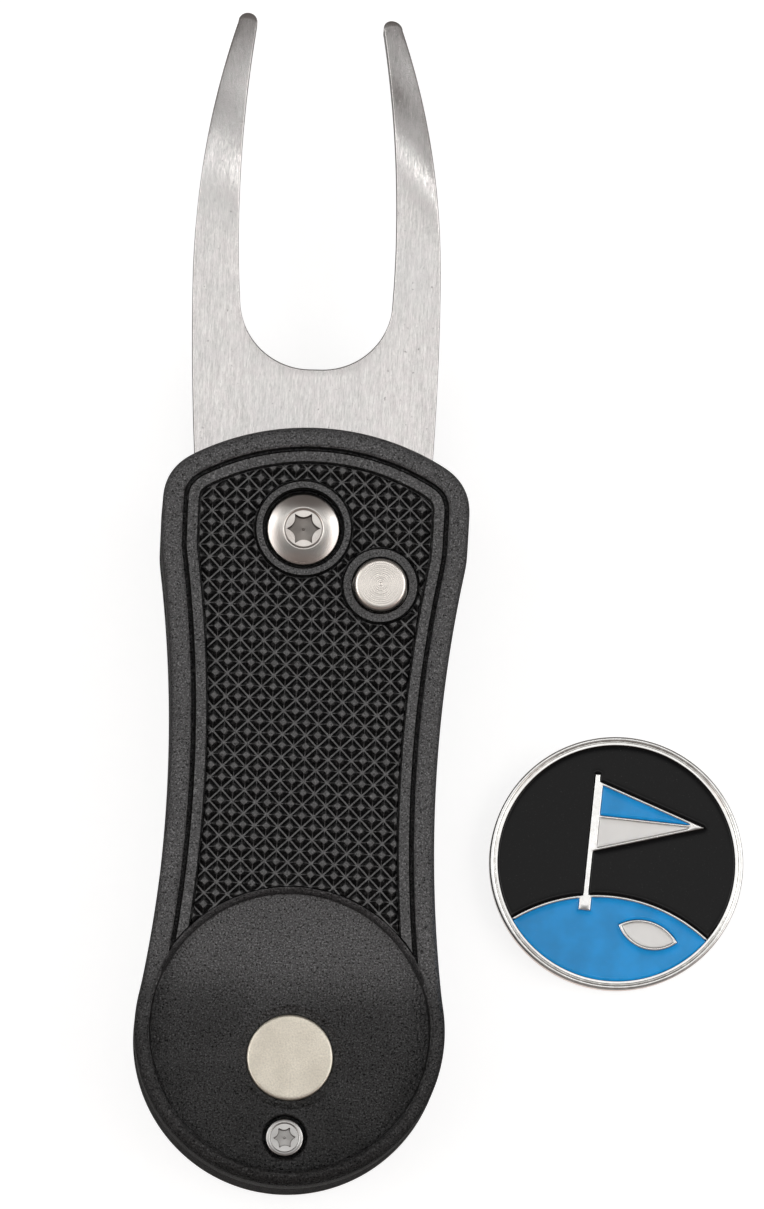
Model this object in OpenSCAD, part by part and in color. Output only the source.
// Folding divot repair tool with a two-prong steel fork, a push-button lock
// and a magnetic seat for its round ball marker, which lies beside it.
//
// Frame: the tool lies on its back. Z = 0 is the back face it rests on and +Z
// leaves the front, where the marker seat is. +Y runs along the handle to the
// fork tips and +X is to the right. The origin is on the fork pivot's axis.
//
// Name endings: _r radius, _t thickness, _w width, _hw half width, _h height,
// _l length, _a angle. Names starting with z_ are levels above the rest face.

/* [Handle] */
// Half width of the handle at its head
head_hw = 15.03; // [14.8:0.05:15.1]
// Half width of the handle at its waist
waist_hw = 13.04; // [12.95:0.01:13.2]
// Radius of the round lower end that holds the marker
bulge_r = 15.1; // [15.0:0.05:15.6]
// Thickness of the back shell, rest face to slot
back_t = 2.6; // [2.5:0.1:2.6]
// Thickness of the slot the fork folds into
slot_t = 5.2; // [5.2:0.1:5.6]
// Thickness of the front shell, slot to front face
front_t = 4.6; // [4.6:0.1:5.4]
// Width of the plain rim round the grip inlay
rim_w = 2.0; // [1.6:0.1:2.2]
// Width of the parting groove between rim and grip inlay
groove_w = 0.35; // [0.2:0.05:0.5]

/* [Marker seat] */
// Radius of the marker seat
seat_r = 13.4; // [13.0:0.1:13.5]
// Depth of the marker seat below the front face
seat_depth = 1.6; // [1.4:0.1:1.7]
// Radius of the magnet in the seat
magnet_r = 4.2; // [3:0.1:4.4]
// Thickness of the magnet
magnet_t = 2.0; // [1.2:0.1:2.0]

/* [Fork] */
// Thickness of the fork plate
fork_t = 1.8; // [1.4:0.1:1.8]
// Half width of the fork at its widest
fork_hw = 12.21; // [12.0:0.01:12.21]
// Length from the pivot to the middle of the tip rounding
fork_l = 51.6; // [48:0.2:51.6]
// Angle the fork stands off the handle's centre line when it is open
open_tilt = 1.9; // [1:0.1:1.9]
// Bend of the prongs towards the back
bend_a = 9.5; // [0:0.5:9.5]

/* [Lock] */
// Distance from the pivot to the lock button
lock_r = 9.36; // [9.3:0.02:9.5]
// Angle of the lock button below the +X axis
lock_a = 34; // [33:1:35]
// Radius of the button's cap
button_r = 2.6; // [2.2:0.05:2.6]
// How far the cap stands above the front face
button_proud = 1.0; // [0.6:0.1:1.2]

/* [Ball marker] */
// Radius of the ball marker
coin_r = 12.5; // [12:0.1:12.8]
// Thickness of the ball marker
coin_t = 2.0; // [1.8:0.1:2.4]
// Where the marker lies beside the tool, across and along it
coin_x = 32.6; // [30:0.1:40]
coin_y = -30.0; // [-40:0.5:-20]

/* [Hidden] */
$fn = 96;
overlap = 0.01;                  // joins stacked solids
gap = 0.02;                      // face gap beside moving and fitted pieces

// levels up the handle
liner_t = 0.6;
washer_t = 0.28;
front_pocket = 1.5;              // depths of the grip pockets
back_pocket = 1.1;
z_slot = back_t;                 // top of the back shell
z_front = back_t + slot_t;       // underside of the front shell
z_top = z_front + front_t;       // front face
z_pocket = z_top - front_pocket;
z_seat = z_top - seat_depth;
z_fork_top = z_front - washer_t - gap;
z_fork = z_fork_top - fork_t;    // underside of the fork

// handle outline: a shallow crown, two shoulders, a waist and a round end
axis_x = 1.15;                   // the handle's centre line
crown_y = 10.15;
crown_r = 25;
crown_cy = crown_y - crown_r;
shoulder_r = 4.8;
shoulder_x = head_hw - shoulder_r;
shoulder_y = crown_cy + sqrt(pow(crown_r - shoulder_r, 2) - pow(shoulder_x, 2));
waist_y = -25;
waist_r = 131.7;
head_y = -14;                    // lower limit of the head
seat_pos = [axis_x, -49.2];
seat_y = seat_pos[1];

// outer edge of each shell, eased in two steps: height from the face and inset
ease_h = 0.8;
ease_in = 0.3;
lip_h = 0.3;
lip_in = 0.9;

// grip inlays and liners
grip_in = rim_w + groove_w;      // inset of an inlay from the outline
band_w = 1.25;                   // raised band along an inlay's edge
pivot_boss_r = 4.77;
pivot_bore_r = 3.88;
liner_in = 3.2;

// pivot
barrel_r = 2.5;
barrel_hole_r = barrel_r + 0.05;
screw_r = 1.45;
head_r = 3.62;                   // heads of both the screw and the barrel
screw_head_h = 1.85;
dome_r = 7;

// torsion spring round the pivot
spring_r = 3.7;
spring_wire_r = 0.3;
spring_pitch = 0.68;
spring_turns = 2.72;
spring_start_a = 200;
lower_leg_r = 6.4;               // reach of the leg in the back liner
upper_leg = [-1.0, 6.1];         // place of the leg end in the fork

// lock
lock_pos = [lock_r * cos(lock_a), -lock_r * sin(lock_a)];
button_hole_r = button_r + 0.1;
flange_r = 3.1;
stem_r = 1.2;
collar_r = 2.2;
z_collar = z_fork - 1.7;         // underside of the collar
z_stem = z_fork - 1.4;           // lower end of the button's stem
well_r = 2.1;                    // well for the button spring
button_pitch = 0.62;

// base screw, pins and magnet
base_pos = [1.2, -59.5];
base_head_r = 1.87;
base_shank_hole_r = 1.1;
base_tower_r = 2.7;
base_tower_h = 2.8;              // above the back shell
insert_r = 1.58;
z_base_head = z_seat - 1.2;      // floor of the screw head's recess
pins = [[14.4, -1.5], [14.1, -46]];
pin_r = 0.75;
magnet_pos = seat_pos + [0.17, -2.5];

// ---------- shared shapes ----------

// a cylinder between two levels
module post(r, z0, z1) { translate([0, 0, z0]) cylinder(r = r, h = z1 - z0); }

// a flat shape raised from level z
module slab(z, h) { translate([0, 0, z]) linear_extrude(h) children(); }

module ring(r_out, r_in) {
    difference() {
        circle(r = r_out);
        circle(r = r_in);
    }
}

// a six-lobe driver recess
module six_lobe(r) {
    circle(r = r * 0.78, $fn = 48);
    for (i = [0:5]) rotate(i * 60 + 3) translate([r * 0.74, 0]) circle(r = r * 0.27, $fn = 32);
}

// round wire along a helix: one closed tube with end caps
module coil(radius, wire_r, z0, pitch, turns, steps, start_a) {
    sides = 6;
    count = ceil(turns * steps);
    points = [for (i = [0:count], k = [0:sides - 1])
        let (along = start_a + 360 * turns * i / count,
             around = 360 * k / sides,
             reach = radius + wire_r * cos(around))
        [reach * cos(along), reach * sin(along),
         z0 + pitch * turns * i / count + wire_r * sin(around)]];
    walls = [for (i = [0:count - 1], k = [0:sides - 1])
        let (next = (k + 1) % sides, low = i * sides, high = (i + 1) * sides)
        [low + k, low + next, high + next, high + k]];
    first_cap = [for (k = [sides - 1:-1:0]) k];
    last_cap = [for (k = [0:sides - 1]) count * sides + k];
    polyhedron(points = points, faces = concat(walls, [first_cap, last_cap]), convexity = 8);
}

module pin_holes(z0, z1) {
    for (pin = pins) translate(pin) post(pin_r + 0.01, z0, z1);
}

// ---------- handle ----------

// the handle seen from the front, drawn in by inset
module outline(inset = 0) {
    translate([axis_x, 0]) {
        translate([0, seat_y]) circle(r = bulge_r - inset, $fn = 160);
        difference() {
            union() {
                translate([-(head_hw - inset), seat_y + 2.5])
                    square([2 * (head_hw - inset), shoulder_y - seat_y - 2.5]);
                // a hair larger than tangent, so the arcs cross
                for (side = [-1, 1])
                    translate([side * shoulder_x, shoulder_y])
                        circle(r = shoulder_r + 0.05 - inset);
                intersection() {
                    translate([0, crown_cy]) circle(r = crown_r - inset, $fn = 180);
                    polygon([[0, crown_cy],
                             [2 * shoulder_x, 2 * shoulder_y - crown_cy],
                             [-2 * shoulder_x, 2 * shoulder_y - crown_cy]]);
                }
            }
            for (side = [-1, 1])
                translate([side * (waist_hw + waist_r), waist_y])
                    circle(r = waist_r + inset, $fn = 360);
        }
    }
}

// the field the grip inlay fills, above the round seat
module grip_field(inset) {
    difference() {
        outline(inset);
        translate(seat_pos) circle(r = seat_r + 0.6 + inset - rim_w, $fn = 160);
    }
}

module grip_band() {
    difference() {
        grip_field(grip_in);
        outline(grip_in + band_w);
    }
}

module head_plate(inset) {
    intersection() {
        outline(inset);
        translate([-30, head_y]) square([60, 40]);
    }
}

module front_shell() color([0.09, 0.09, 0.10]) difference() {
    union() {
        slab(z_front, front_t - ease_h) outline();
        slab(z_top - ease_h - overlap, ease_h - lip_h + overlap) outline(ease_in);
        slab(z_top - lip_h - overlap, lip_h + overlap) outline(lip_in);
    }
    slab(z_pocket, front_pocket + 1) grip_field(rim_w);
    translate(seat_pos) post(seat_r, z_seat, z_top + 1);
    translate(magnet_pos) {
        post(magnet_r + 0.05, z_seat - magnet_t, z_seat + 1);
        post(magnet_r + 0.7, z_seat - 0.15, z_seat + 1);
    }
    translate(base_pos) {
        post(base_shank_hole_r, z_front - 1, z_top);
        post(2.15, z_base_head, z_top);
    }
    post(barrel_hole_r, z_front - 1, z_top);
    translate(lock_pos) {
        post(button_hole_r, z_front, z_top + 1);
        post(flange_r + 0.15, z_front - 1, z_front + 2.4);
    }
    slab(z_front - 1, 1 + liner_t) head_plate(liner_in - gap);
    pin_holes(z_front - 1, z_front + 1.9);
}

module front_grip() color([0.13, 0.13, 0.14]) difference() {
    floor_z = z_pocket + gap;
    union() {
        slab(floor_z, 0.8) grip_field(grip_in);
        slab(floor_z, front_pocket - gap - 0.1) grip_band();
        // bosses round the pivot screw and the button
        post(pivot_boss_r, floor_z, z_top);
        translate(lock_pos) post(3.75, floor_z, z_top);
    }
    post(pivot_bore_r, z_pocket - 1, z_top + 1);
    translate(lock_pos) post(button_hole_r, z_pocket - 1, z_top + 1);
}

module back_shell() color([0.09, 0.09, 0.10]) difference() {
    union() {
        slab(ease_h, back_t - ease_h) outline();
        slab(lip_h, ease_h - lip_h + overlap) outline(ease_in);
        slab(0, lip_h + overlap) outline(lip_in);
        translate(base_pos) post(base_tower_r, 1, z_slot + base_tower_h);
    }
    slab(-1, 1 + back_pocket) grip_field(rim_w);
    post(barrel_hole_r, -1, z_slot + 1);
    translate(lock_pos) post(well_r, 1.6, z_slot + 1);
    slab(z_slot - liner_t, liner_t + 1) head_plate(liner_in - gap);
    translate(base_pos) post(insert_r + 0.02, 1.5, z_slot + 3);
    pin_holes(1.1, z_slot + 1);
}

module back_grip() color([0.13, 0.13, 0.14]) difference() {
    top = back_pocket - gap;
    union() {
        slab(0.5, top - 0.5) grip_field(grip_in);
        slab(0.1, top - 0.1) grip_band();
        post(pivot_boss_r, 0, top);
    }
    post(pivot_bore_r, -1, back_pocket + 1);
}

// closes the right side and the lower end between the shells; the top and the
// left side stay open for the fork
module spine_spacer() color([0.09, 0.09, 0.10]) difference() {
    slab(z_slot + gap, slot_t - 2 * gap) intersection() {
        outline();
        union() {
            translate([12.35, head_y - 50]) square([10, 50 + overlap]);
            translate([12.72, head_y]) square([10, 19]);
            difference() {
                translate([-30, -70]) square([60, 30]);
                // clear of the fork tips as they swing
                circle(r = fork_l + 2.6, $fn = 240);
            }
        }
    }
    translate(base_pos) {
        post(base_tower_r + 0.05, 0, z_slot + base_tower_h + 0.1);
        post(base_shank_hole_r, 0, z_top);
    }
    pin_holes(0, z_top);
}

module front_liner() color([0.72, 0.72, 0.74]) difference() {
    slab(z_front, liner_t - gap) head_plate(liner_in);
    post(barrel_hole_r, 0, z_top);
    translate(lock_pos) post(stem_r + 0.1, 0, z_top);
}

module back_liner() color([0.72, 0.72, 0.74]) difference() {
    slab(z_slot - liner_t + gap, liner_t - gap) head_plate(liner_in);
    post(barrel_hole_r, 0, z_top);
    translate(lock_pos) post(well_r, 0, z_top);
    // hole for the torsion spring's lower leg
    rotate(spring_start_a) translate([lower_leg_r, 0]) post(0.45, 0, z_top);
}

// ---------- fork ----------

fork_x = 1.0;                    // the fork's own centre line
fork_foot = -8;                  // lower end of the blank, along Y
fork_steps = 19;                 // steps along each long edge
gap_r = 6.92;                    // round bottom of the gap between the prongs
gap_x = 0.6;
gap_y = 23.46;

// half width at y of an edge that is widest at peak_y: a parabola below it and
// an arc above it
function edge_hw(y, peak_y, peak_hw, divisor, arc_r) =
    y < peak_y ? peak_hw - pow(y - peak_y, 2) / divisor
               : peak_hw - arc_r + sqrt(pow(arc_r, 2) - pow(y - peak_y, 2));
function outer_hw(y) = edge_hw(y, peak_y = 25, peak_hw = fork_hw, divisor = 600, arc_r = 89);
function inner_hw(y) = edge_hw(y, peak_y = 30.6, peak_hw = 7.77, divisor = 210, arc_r = 146.5);

// right half of the fork's outline, from the bottom of the gap round the tip
// and down the outer edge
tip_x = (outer_hw(fork_l) + inner_hw(fork_l)) / 2;
tip_r = (outer_hw(fork_l) - inner_hw(fork_l)) / 2;
half_outline = concat(
    [for (a = [90:-10:0]) [gap_x + gap_r * cos(a), gap_y - gap_r * sin(a)]],
    [for (i = [1:fork_steps - 1])
        let (y = gap_y + (fork_l - gap_y) * i / fork_steps) [inner_hw(y), y]],
    [for (a = [180:-20:0]) [tip_x + tip_r * cos(a), fork_l + tip_r * sin(a)]],
    [for (i = [fork_steps - 1:-1:0])
        let (y = fork_foot + (fork_l - fork_foot) * i / fork_steps) [outer_hw(y), y]]);

module fork_blank() {
    difference() {
        translate([fork_x, 0]) polygon(concat(half_outline,
            [for (i = [len(half_outline) - 1:-1:0])
                [-half_outline[i][0], half_outline[i][1]]]));
        // lower edge: level on the right, cut higher on the left
        polygon([[-20, -20], [20, -20], [20, 0.3], [5, 0.3], [-5.3, 5.4],
                 [-8.3, 8.1], [-11.4, 6.95], [-20, 3.77]]);
    }
}

// side view of the plate: flat, then an easy bend towards the back, then
// straight; each station on the middle line is [along, height, slope angle]
bend_y = 30;
bend_l = 12;
bend_r = bend_l / sin(max(bend_a, 0.01));
bend_steps = 6;
function bend_point(i) = let (a = bend_a * i / bend_steps)
    [bend_y + bend_r * sin(a), -bend_r * (1 - cos(a)), a];
bend_end = bend_point(bend_steps);
mid_line = concat([[-12, 0, 0]],
    [for (i = [0:bend_steps]) bend_point(i)],
    [[bend_end[0] + 20 * cos(bend_a), bend_end[1] - 20 * sin(bend_a), bend_a]]);
function raised(station, h) =
    [station[0] + h * sin(station[2]), station[1] + h * cos(station[2])];

module fork_side() {
    polygon(concat([for (station = mid_line) raised(station, fork_t / 2)],
                   [for (i = [len(mid_line) - 1:-1:0]) raised(mid_line[i], -fork_t / 2)]));
}

module fork() color([0.80, 0.79, 0.77]) difference() {
    rotate(open_tilt) intersection() {
        union() {
            slab(1, z_front) fork_blank();
            post(7.8, 0.5, z_front + 1.5);
        }
        translate([-20, 0, z_fork + fork_t / 2]) rotate([90, 0, 90])
            linear_extrude(40) fork_side();
    }
    post(barrel_hole_r, 0, z_top);
    // scallops for the lock collar, fork open and fork folded
    for (side = [-1, 1]) translate(side * lock_pos) post(collar_r + 0.1, 0, z_top);
    translate(upper_leg) post(0.5, 0, z_top);
}

// ---------- pivot ----------

module pivot_screw() color([0.78, 0.76, 0.73]) difference() {
    union() {
        // domed head
        translate([0, 0, z_pocket + gap]) rotate_extrude() difference() {
            square([head_r, screw_head_h]);
            difference() {
                translate([0, 0.7]) square([head_r + 1, 3]);
                translate([0, screw_head_h - dome_r]) circle(r = dome_r, $fn = 160);
            }
        }
        post(screw_r, z_front - 3.6, z_pocket + 0.5);
    }
    slab(z_top - 0.9, 3) six_lobe(1.55);
}

module pivot_barrel() color([0.70, 0.69, 0.67]) difference() {
    union() {
        post(head_r, 0.2, back_pocket - gap);
        post(barrel_r, 0.5, z_pocket - gap);
    }
    post(screw_r + 0.05, 1.6, z_top);
    slab(-1, 2.0) six_lobe(1.45);
}

// one washer on each face of the fork
module pivot_washers() color([0.76, 0.62, 0.32]) {
    for (z = [z_fork_top + gap, z_fork - gap - washer_t])
        difference() {
            post(5, z, z + washer_t - gap);
            post(barrel_hole_r, z - 1, z + 1);
        }
}

module spring_bush() color([0.76, 0.62, 0.32]) difference() {
    post(3.0, z_slot + gap, z_fork - washer_t - 2 * gap);
    post(barrel_hole_r, 0, z_top);
}

// wire running outwards at level z, with its end turned along Z from z0 to z1
module spring_leg(angle, start, reach, z, z0, z1) {
    rotate(angle) {
        translate([start, 0, z]) rotate([0, 90, 0])
            cylinder(r = spring_wire_r, h = reach - start + spring_wire_r, $fn = 24);
        translate([reach, 0]) post(spring_wire_r, z0, z1, $fn = 24);
    }
}

module torsion_spring() color([0.62, 0.63, 0.66]) {
    low = z_slot + 0.4;
    high = low + spring_pitch * spring_turns;
    coil(spring_r, spring_wire_r, low, spring_pitch, spring_turns,
         steps = 24, start_a = spring_start_a);
    // lower leg, into the back liner
    spring_leg(spring_start_a, start = spring_r - 0.1, reach = lower_leg_r,
               z = low, z0 = z_slot - 0.3, z1 = low);
    // upper leg, into the fork
    spring_leg(atan2(upper_leg[1], upper_leg[0]), start = spring_r - 0.2,
               reach = norm(upper_leg), z = high, z0 = high, z1 = z_fork + 1.1);
}

// ---------- lock ----------

module lock_button() color([0.80, 0.77, 0.70]) translate(lock_pos) {
    cap_top = z_top + button_proud;
    chamfer = 0.3;
    z_flange = z_front + 1.7;
    difference() {
        union() {
            post(button_r, z_flange, cap_top - chamfer);
            translate([0, 0, cap_top - chamfer - overlap])
                cylinder(r1 = button_r, r2 = button_r - chamfer, h = chamfer + overlap);
            post(flange_r, z_flange, z_flange + 0.6);
            post(stem_r, z_stem, z_front + 2);
        }
        // turned rings on the cap
        for (r = [0.5, 1.2]) slab(cap_top - 0.06, 1) ring(r + 0.14, r);
    }
}

module lock_collar() color([0.62, 0.62, 0.64]) translate(lock_pos) difference() {
    post(collar_r, z_collar, z_fork - 0.1);
    post(stem_r + gap, z_stem, z_top);
}

module button_spring() color([0.62, 0.63, 0.66]) translate(lock_pos)
    coil(radius = 1.5, wire_r = 0.18, z0 = 1.85, pitch = button_pitch,
         turns = (z_collar - 2.1) / button_pitch, steps = 20, start_a = 40);

// ---------- seat and base ----------

module magnet() color([0.80, 0.77, 0.69]) translate(magnet_pos) difference() {
    post(magnet_r, z_seat - magnet_t + gap, z_seat - gap);
    // bevel round the upper edge
    translate([0, 0, z_seat - 0.2]) rotate_extrude() translate([magnet_r, 0.2]) rotate(45)
        square(0.22, center = true);
}

module base_screw() color([0.74, 0.73, 0.71]) translate(base_pos) difference() {
    z_bevel = z_seat - 0.15;
    union() {
        post(base_head_r, z_base_head + gap, z_bevel);
        translate([0, 0, z_bevel - overlap]) cylinder(r1 = base_head_r, r2 = 1.6, h = 0.13);
        post(0.95, 2.7, z_seat - 1);
    }
    slab(z_seat - 0.75, 3) six_lobe(1.0);
}

module base_insert() color([0.76, 0.62, 0.32]) translate(base_pos) difference() {
    post(insert_r, 2.3, z_slot + base_tower_h - 0.1);
    post(1.0, 0, z_top);
    // two grooves round the outside
    for (z = [3.2, 4.2]) slab(z, 0.3) ring(3, 1.42);
}

module dowel_pins() color([0.74, 0.73, 0.71])
    for (pin = pins) translate(pin) post(pin_r, 1.2, z_front + 1.8);

// ---------- ball marker ----------

cell_floor = coin_t - 0.5;       // bottom of the enamel cells
enamel_top = coin_t - 0.2;
field_r = coin_r - 0.85;         // inside the marker's rim
coin_bevel = 0.3;
ridge = 0.34;                    // width of the metal lines
flag_y = 4.4;                    // middle of the flag
flag_hh = 3.5;                   // half height of the flag
pole_x = -2.95;                  // left side of the pole
pole_w = 0.55;

// a triangular flag, pointing right
module pennant(inset) {
    rise = flag_hh - 1.35 * inset;
    polygon([[-2.4 + inset, flag_y + rise],
             [-2.4 + inset, flag_y - rise],
             [8.4 - 3.2 * inset, flag_y]]);
}

module hill(inset) {
    intersection() {
        translate([0, -19.2]) circle(r = 16 - inset, $fn = 160);
        circle(r = field_r, $fn = 120);
    }
}

module bunker(inset) {
    intersection() {
        translate([4.2, -4.5]) circle(r = 3.4 - inset);
        translate([3.2, -9.6]) circle(r = 4.0 - inset);
    }
}

// covers the part of the flag below y
module flag_below(y) { translate([-10, -5]) square([30, y + 5]); }

// upper half of the flag, and the hill less the bunker and the pole's foot
module cells_blue() {
    difference() {
        pennant(ridge);
        flag_below(flag_y + ridge / 2);
    }
    difference() {
        hill(ridge);
        bunker(-ridge);
        translate([pole_x - ridge, -5]) square([pole_w + 2 * ridge, 2]);
    }
}

// lower half of the flag, and the bunker
module cells_white() {
    intersection() {
        pennant(ridge);
        flag_below(flag_y - ridge / 2);
    }
    bunker(0);
}

// the ground round the flag, hill and pole
module cells_black() {
    difference() {
        circle(r = field_r, $fn = 120);
        pennant(0);
        hill(0);
        translate([pole_x, -4.6]) square([pole_w, 13.2]);
    }
}

module on_marker() { translate([coin_x, coin_y, 0]) rotate(-3.2) children(); }

module marker_coin() color([0.82, 0.82, 0.83]) on_marker() difference() {
    small_r = coin_r - coin_bevel;
    bevel_h = coin_bevel + overlap;
    union() {
        translate([0, 0, coin_bevel])
            cylinder(r = coin_r, h = coin_t - 2 * coin_bevel, $fn = 160);
        cylinder(r1 = small_r, r2 = coin_r, h = bevel_h, $fn = 160);
        translate([0, 0, coin_t - bevel_h])
            cylinder(r1 = coin_r, r2 = small_r, h = bevel_h, $fn = 160);
    }
    slab(cell_floor, 1) {
        cells_black();
        cells_blue();
        cells_white();
    }
    translate([0, 0, coin_t - 0.08]) cylinder(r = field_r, h = 1, $fn = 120);
}

module enamel(tint) {
    color(tint) on_marker() slab(cell_floor, enamel_top - cell_floor) children();
}
module marker_enamel_black() enamel([0.02, 0.02, 0.03]) cells_black();
module marker_enamel_blue() enamel([0.13, 0.50, 0.78]) cells_blue();
module marker_enamel_white() enamel([0.92, 0.92, 0.92]) cells_white();

front_shell();
front_grip();
back_shell();
back_grip();
spine_spacer();
front_liner();
back_liner();
fork();
pivot_screw();
pivot_barrel();
pivot_washers();
spring_bush();
torsion_spring();
lock_button();
lock_collar();
button_spring();
magnet();
base_screw();
base_insert();
dowel_pins();
marker_coin();
marker_enamel_black();
marker_enamel_blue();
marker_enamel_white();
